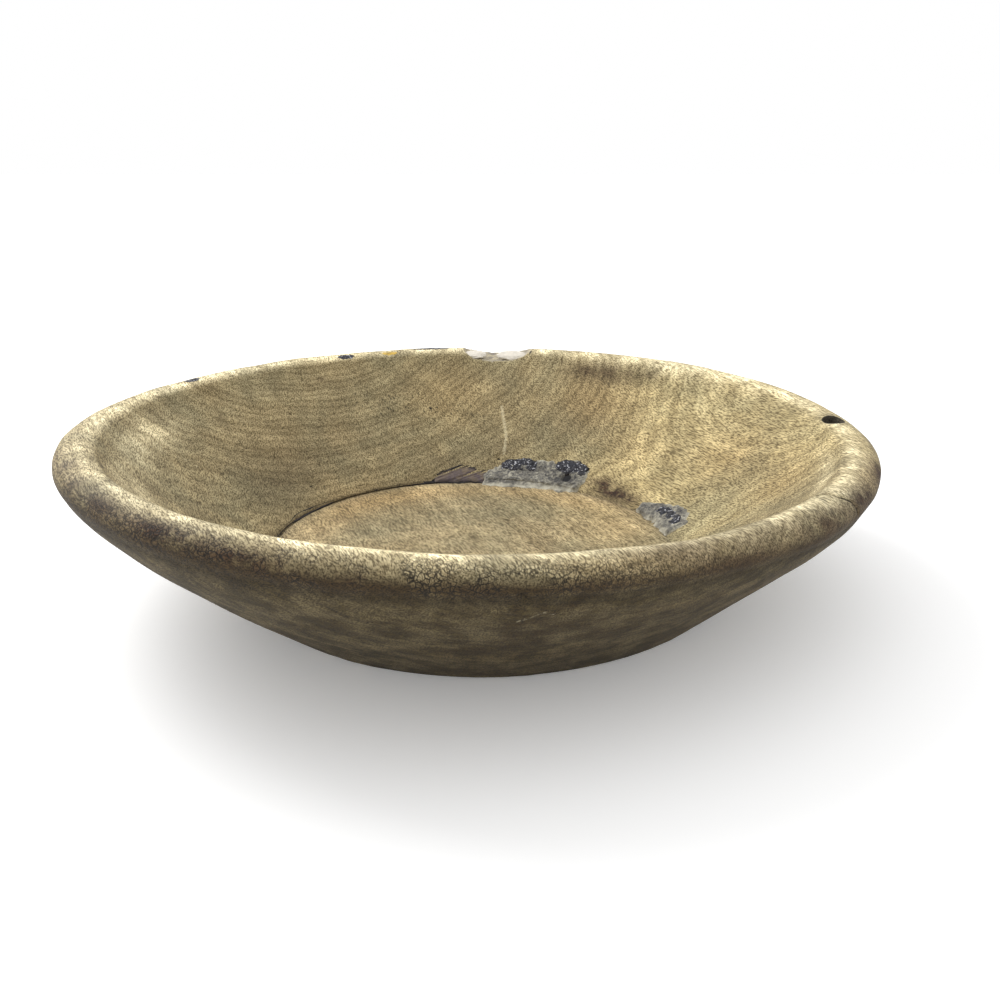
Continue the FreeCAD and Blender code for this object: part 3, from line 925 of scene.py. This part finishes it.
def wood_material(wood, grain, mottle):
    """Dry wood: heart and sap, grain, stains, patina outside, a polished rim with a painted
    highlight, and painted shade in hollows.
    """
    material, w, shader = new_material("bowl_wood")
    g = w.group(grain).outputs
    coarse = w.group(mottle, Blotch=14.0, Speckle=700.0).outputs
    middle = w.group(mottle, Blotch=60.0, Speckle=1500.0).outputs
    small = w.group(mottle, Blotch=230.0, Speckle=900.0).outputs
    cloud, patch, fleck = (m["Blotches"] for m in (coarse, middle, small))
    patina = w.mark("patina")

    def coat(share, over, blend="MIX"):
        """Lay one more colour over those that are there."""
        nonlocal colour
        colour = w.mix(share, colour, over, blend)

    # The block's own colours, from heart to sap, and pale patches that on the crest are a painted
    # highlight as well as wear
    sap = w.scaled(w.remap(g["Depth"], *SAP_DEPTHS), 0.8, 0.06)
    colour = w.mix(sap, wood.heartwood, wood.sapwood)
    coat(w.scaled(w.mark("floor"), 0.85), wood.floor_tint)
    coat(w.times(w.mark("warm"), w.scaled(cloud, 0.5, 0.35)), wood.warm_tint)
    coat(w.scaled(cloud, 0.40), wood.cool_tint)
    coat(w.times(w.mark("pale"), w.scaled(patch, 0.4, 0.6)), wood.wear_and_highlight)

    # Handling has polished the crest and darkened the outside; the crest's pale band is a painted
    # highlight as well as wear
    wear_and_highlight = w.times(w.mark("crest"), w.scaled(patch, 0.4, 0.4))
    coat(wear_and_highlight, wood.wear_and_highlight)
    skin = w.mix(w.scaled(cloud, 0.7, 0.1), wood.patina, wood.patina_brown)
    skin = w.mix(w.scaled(fleck, 0.30), skin, wood.patina_pale)
    coat(w.scaled(w.times(patch, -0.22, patina), 1.0), skin)
    stain = w.scaled(w.times(fleck, 0.5, patch), 0.9, 0.34)
    coat(w.scaled(w.times(w.mark("stain"), stain), 1.0), wood.stain)

    # Rings, clouds, fibres, vessels and the lip's crackle
    coat(w.scaled(cloud, -0.3, 0.95), w.mix(g["Rings"], *RING_TONES), "MULTIPLY")
    coat(w.scaled(patina, -0.35, 0.85), w.mix(patch, *PATCH_TONES), "MULTIPLY")
    coat(w.scaled(patina, -0.35, 0.8), w.mix(cloud, *CLOUD_TONES), "MULTIPLY")
    fibres = w.mix(w.remap(g["Fibres"], 0.36, 0.62), wood.fibre_dark, wood.fibre_light)
    coat(w.scaled(patina, -0.12, 1.0), fibres, "MULTIPLY")
    vessels = w.times(g["Vessels"], w.mark("open"))
    dark = w.math("MAXIMUM", w.scaled(g["Pores"], 0.55), w.scaled(vessels, 1.0))
    coat(dark, w.mix(0.80, colour, (0, 0, 0)))
    dry = w.times(w.mark("crackle"), w.remap(patch, -0.1, 0.55))
    crackle = w.times(g["Crackle"], dry)
    coat(w.scaled(crackle, 0.9), wood.grime_and_shade)

    # Broken wood, scratches, painted shade in hollows, and dark cracks
    coat(w.scaled(w.mark("broken"), 0.8), w.mix(fleck, wood.broken, wood.broken_dark))
    scratch = w.times(small["Speckles"], 0.9, w.mark("scratch"))
    scratch = w.remap(scratch, -0.1, 0.9, 1.0, 0.0)
    coat(w.scaled(scratch, 0.8), w.mix(0.42, colour, wood.wear_and_highlight))
    # Painted shade under the lip, round the floor's corner and in the groove.
    grime_and_shade = w.times(w.mark("grime_and_shade"), w.scaled(patch, 0.4, 0.7))
    coat(w.scaled(grime_and_shade, 1.0), wood.grime_and_shade)
    # Cracks darkened, and the rim's hole painted dark as shade.
    split = w.times(fleck, 0.25, w.mark("crack"))
    split = w.remap(split, 0.0, 0.4, 1.0, 0.0)
    coat(w.scaled(split, 0.92), wood.grime_and_shade)

    roughness = w.times(wear_and_highlight, -0.18, 0.78)
    roughness = w.times(g["Pores"], 0.1, roughness)
    shader.inputs["Specular IOR Level"].default_value = 0.3
    relief = g["Fibres"]
    for mark, weight in ((g["Pores"], -0.8), (crackle, -1.3), (g["Rings"], 0.25), (split, -2.0)):
        relief = w.times(mark, weight, relief)
    finish_material(w, shader, colour, roughness, relief, 0.22 * MM, 0.8)
    return material


def lime_material(repairs, mottle):
    """Crumbled grey lime, pale and chalky where it feathers out on the floor, with painted shade
    in and round its pit.
    """
    material, w, shader = new_material("corner_lime")
    m = w.group(mottle, Blotch=130.0, Speckle=620.0).outputs
    fine = w.group(mottle, Blotch=420.0, Speckle=1500.0).outputs
    pale_edge = w.times(w.mark("feather"), w.scaled(m["Blotches"], 1.1, 0.15))
    colour = w.mix(m["Blotches"], repairs.lime, repairs.lime_pale)
    for share, over in (
            (w.scaled(fine["Blotches"], 0.75), repairs.lime_dark),
            (w.scaled(m["Speckles"], 0.75), repairs.lime_dark),
            (w.scaled(pale_edge, 1.0), repairs.lime_pale),
            (w.scaled(w.mark("pit"), 1.6), PIT_SHADE)):
        colour = w.mix(share, colour, over)
    finish_material(w, shader, colour, 0.9, m["Height"], 0.8 * MM)
    return material


def pitch_material(name, repairs, mottle, base, dust, glint_share):
    """Hard dark pitch, dusty in places, with white specks painted as glints and dark in the
    corner.
    """
    material, w, shader = new_material(name)
    m = w.group(mottle, Blotch=170.0, Speckle=640.0).outputs
    colour = w.mix(w.scaled(m["Blotches"], 0.8), base, dust)
    # Painted glints: white specks mixed into the pitch's colour.
    if glint_share > 0:
        glint_specks = w.remap(m["Speckles"], 1 - glint_share, 1.0)
        colour = w.mix(w.scaled(glint_specks, 0.7), colour, repairs.glint)
    colour = w.mix(w.scaled(w.mark("feather"), 1.3), colour, repairs.thread)
    roughness = w.times(m["Blotches"], 0.35, 0.45)
    shader.inputs["Specular IOR Level"].default_value = 0.25
    finish_material(w, shader, colour, roughness, m["Height"], 0.7 * MM)
    return material


def smooth_material(name, mottle, base, left, share, blotch, roughness, depth):
    """Putty or wax: one colour, with blotches where only part of it is left."""
    material, w, shader = new_material(name)
    m = w.group(mottle, Blotch=blotch, Speckle=900.0).outputs
    shade = tuple(left * part for part in base)
    colour = w.mix(w.times(m["Blotches"], share), base, shade)
    finish_material(w, shader, colour, roughness, m["Height"], depth)
    return material


def material_named(name):
    """A material that is already made, or a new one."""
    if name in bpy.data.materials:
        return bpy.data.materials[name]
    scene = bpy.context.scene
    groups = bpy.data.node_groups
    grain = groups.get("Wood Grain") or grain_group(scene.bowl_wood)
    mottle = groups.get("Mottle") or mottle_group()
    r = scene.bowl_repairs
    if name == "bowl_wood":
        return wood_material(scene.bowl_wood, grain, mottle)
    if name == "corner_lime":
        return lime_material(r, mottle)
    smooth = {
        "rim_putty": (r.putty, 0.62, 0.45, 170.0, 0.7, 0.4 * MM),
        "rim_wax": (r.wax, 0.5, 1.0, 260.0, 0.35, 0.2 * MM),
    }
    if name in smooth:
        return smooth_material(name, mottle, *smooth[name])
    # The last number is the share of white specks painted as glints.
    pitches = {
        "corner_pitch": (r.pitch, r.pitch_dust, 0.18),
        "pitch_smear": (r.smear, r.smear_pale, 0),
        "pitch_thread": (r.thread, r.smear, 0),
        "rim_pitch": (r.pitch, r.pitch_dust, 0.05),
    }
    return pitch_material(name, r, mottle, *pitches[name])


# ---- Operators ----

class BOWL_OT_body(bpy.types.Operator):
    """Carve the bowl's block, with its chip, hole and cracks"""
    bl_idname = "bowl.body"
    bl_label = "Carve Bowl"

    def execute(self, context):
        carve_bowl(context.scene.bowl_shape, material_named("bowl_wood"))
        return {"FINISHED"}


# Repairs in the floor's corner: piece, material, slot, seed, steps along and across,
# thickness, roughness and extra in the corner in mm, pit, depth of strokes in mm, outline
CORNER_REPAIRS = [
    ("corner_fill_back", "corner_lime", "lime_fill", 11, (210, 76), (1.1, 0.75, 2.4), (60, 121), 0,
     [(90, 110, 115), (84, 105, 125), (76, 106, 131), (68, 107, 132), (59, 109, 134),
      (54, 112, 129), (52, 115, 122)]),
    ("corner_fill_right", "corner_lime", "lime_fill", 23, (170, 56), (0.8, 0.5, 1.6), None, 0,
     [(30, 114, 118), (24, 112, 124), (17, 112, 128), (10, 112, 128), (6, 112, 125),
      (4, 114, 121)]),
    ("corner_pitch_strip", "pitch_smear", "pitch", 31, (190, 50), (0.15, 0.2, 0.9), None, 0.9,
     [(105, 113, 116), (101, 113, 122), (96, 112, 125), (91, 112, 124), (86, 111, 121)]),
    ("seam_pitch_left", "pitch_thread", "pitch", 43, (420, 7), (-0.35, 0.3, 0), None, 0,
     [(103, 113.6, 115), (120, 114, 114.8), (140, 114, 114.8), (156, 113, 116),
      (160, 113, 116), (164, 114, 115), (180, 114, 114.8), (196, 114, 114.6)]),
    ("corner_lump_left", "corner_pitch", "pitch", 51, (110, 60), (1.3, 0.8, 0), None, 0,
     [(83, 123, 127), (80, 121, 131), (74, 121, 132), (70, 124, 129)]),
    ("corner_lump_right", "corner_pitch", "pitch", 61, (100, 60), (1.5, 0.8, 0), None, 0,
     [(66, 126, 131), (63, 123, 134), (58, 123, 134), (54, 125, 130)]),
    ("corner_lump_small", "corner_pitch", "pitch", 71, (90, 50), (1.4, 0.8, 0), None, 0,
     [(22, 117, 121), (18, 115, 125), (12, 115, 126), (7, 118, 123)]),
]
# Lumps in the chip: piece, share of its CAD node's length, half width and half height in
# mm, roughness, seed, tilt beyond the chip's in degrees
PUTTY_LUMPS = [
    ("rim_putty_left", (1.3, 6, 1.6), 0.14, 12.0, 8),
    ("rim_putty_right", (1.1, 6.5, 2.0), 0.12, 15.0, 10),
]
# Plugs in the rim: piece, material, slot, breadth, distance from the axis, seed, rise in mm
RIM_PLUGS = [
    ("rim_pitch_left", "rim_pitch", "pitch", 6, 208, 51, 0.35),
    ("rim_pitch_back", "rim_pitch", "pitch", 7, 204, 52, 0.35),
    ("rim_pitch_sliver", "rim_pitch", "pitch", 4.5, 208, 53, 0.4),
    ("rim_wax_spot", "rim_wax", "wax", 5, 204, 54, 0.4),
]


class BOWL_OT_corner_repairs(bpy.types.Operator):
    """Fill the floor's corner with lime and pitch"""
    bl_idname = "bowl.corner_repairs"
    bl_label = "Fill Floor Corner"

    def execute(self, context):
        for name, material, *rest in CORNER_REPAIRS:
            bedded_patch(name, context.scene.bowl_shape, material_named(material), *rest)
        return {"FINISHED"}


class BOWL_OT_rim_repairs(bpy.types.Operator):
    """Put putty in the chip, and plugs of pitch and wax in the rim"""
    bl_idname = "bowl.rim_repairs"
    bl_label = "Mend Rim"

    def execute(self, context):
        shape = context.scene.bowl_shape
        for name, *rest in PUTTY_LUMPS:
            lump(name, shape, material_named("rim_putty"), "putty", *rest)
        for name, material, *rest in RIM_PLUGS:
            rim_plug(name, shape, material_named(material), *rest)
        return {"FINISHED"}


# The floor's size, the key light's place, aim and size, and the camera's distances are in
# rim radii. The lens is in mm, and the camera's rise is its angle above the table.
FLOOR_SIZE = 60
KEY_PLACE = (-3.6, 2.4, 4.2)
KEY_AIM = (0, 0, 0.2)
KEY_SIZE = 3.6
CAMERA_LENS = 39.6
CAMERA_RISE = math.radians(18.4)
CAMERA_AWAY = 2.84183
CAMERA_ASIDE = 0.086
CAMERA_DROP = 0.0068


class BOWL_OT_stage(bpy.types.Operator):
    """Set up the pale floor, the soft light and the camera"""
    bl_idname = "bowl.stage"
    bl_label = "Set Stage"

    def execute(self, context):
        scene = context.scene
        settings = scene.bowl_stage
        rim = scene.bowl_shape.rim_radius

        bpy.ops.mesh.primitive_plane_add(size=FLOOR_SIZE * rim)
        floor = context.object
        floor.name = "stage_floor"
        floor_material, _, shader = new_material("stage_floor")
        shader.inputs["Base Color"].default_value = (*settings.floor_colour, 1)
        shader.inputs["Roughness"].default_value = 0.9
        shader.inputs["Emission Color"].default_value = (1, 1, 1, 1)
        shader.inputs["Emission Strength"].default_value = settings.floor_glow
        floor.data.materials.append(floor_material)

        world = bpy.data.worlds.new("soft_sky")
        scene.world = world
        world.use_nodes = True
        sky = world.node_tree.nodes["Background"]
        sky.inputs["Color"].default_value = (1, 1, 1, 1)
        sky.inputs["Strength"].default_value = settings.sky_strength

        lamp = bpy.data.lights.new("key_light", "AREA")
        lamp.size = KEY_SIZE * rim
        lamp.energy = settings.key_power
        holder = bpy.data.objects.new("key_light", lamp)
        holder.location = Vector(KEY_PLACE) * rim
        toward = Vector(KEY_AIM) * rim - holder.location
        holder.rotation_euler = toward.to_track_quat("-Z", "Y").to_euler()
        scene.collection.objects.link(holder)

        scene.view_settings.view_transform = "Standard"
        camera = bpy.data.cameras.new("camera")
        camera.sensor_width = 36
        camera.lens = CAMERA_LENS
        holder = bpy.data.objects.new("camera", camera)
        middle = Vector((CAMERA_ASIDE * rim, 0, scene.bowl_shape.crest_height / 2))
        back = Vector((0, -math.cos(CAMERA_RISE), math.sin(CAMERA_RISE)))
        above = Vector((0, math.sin(CAMERA_RISE), math.cos(CAMERA_RISE)))
        holder.location = middle + (back * CAMERA_AWAY - above * CAMERA_DROP) * rim
        holder.rotation_euler = (math.radians(90) - CAMERA_RISE, 0, 0)
        scene.collection.objects.link(holder)
        scene.camera = holder
        return {"FINISHED"}


class BOWL_PT_panel(bpy.types.Panel):
    """Lists the bowl's steps in the order that they are made"""
    bl_label = "Carved Bowl"
    bl_idname = "BOWL_PT_panel"
    bl_space_type = "VIEW_3D"
    bl_region_type = "UI"
    bl_category = "Bowl"

    def draw(self, context):
        for name in STEPS:
            self.layout.operator("bowl." + name)


STEPS = ("body", "corner_repairs", "rim_repairs", "stage")
SETTINGS = {
    "bowl_shape": BowlShape, "bowl_wood": BowlWood, "bowl_repairs": BowlRepairs,
    "bowl_stage": BowlStage,
}
CLASSES = (*SETTINGS.values(), BOWL_OT_body, BOWL_OT_corner_repairs, BOWL_OT_rim_repairs,
           BOWL_OT_stage, BOWL_PT_panel)


def register():
    for kind in CLASSES:
        bpy.utils.register_class(kind)
    for name, kind in SETTINGS.items():
        setattr(bpy.types.Scene, name, PointerProperty(type=kind))


def unregister():
    for name in SETTINGS:
        delattr(bpy.types.Scene, name)
    for kind in reversed(CLASSES):
        bpy.utils.unregister_class(kind)


def main():
    """Make every piece."""
    register()
    for step in STEPS:
        getattr(bpy.ops.bowl, step)()


if __name__ == "__main__":
    main()
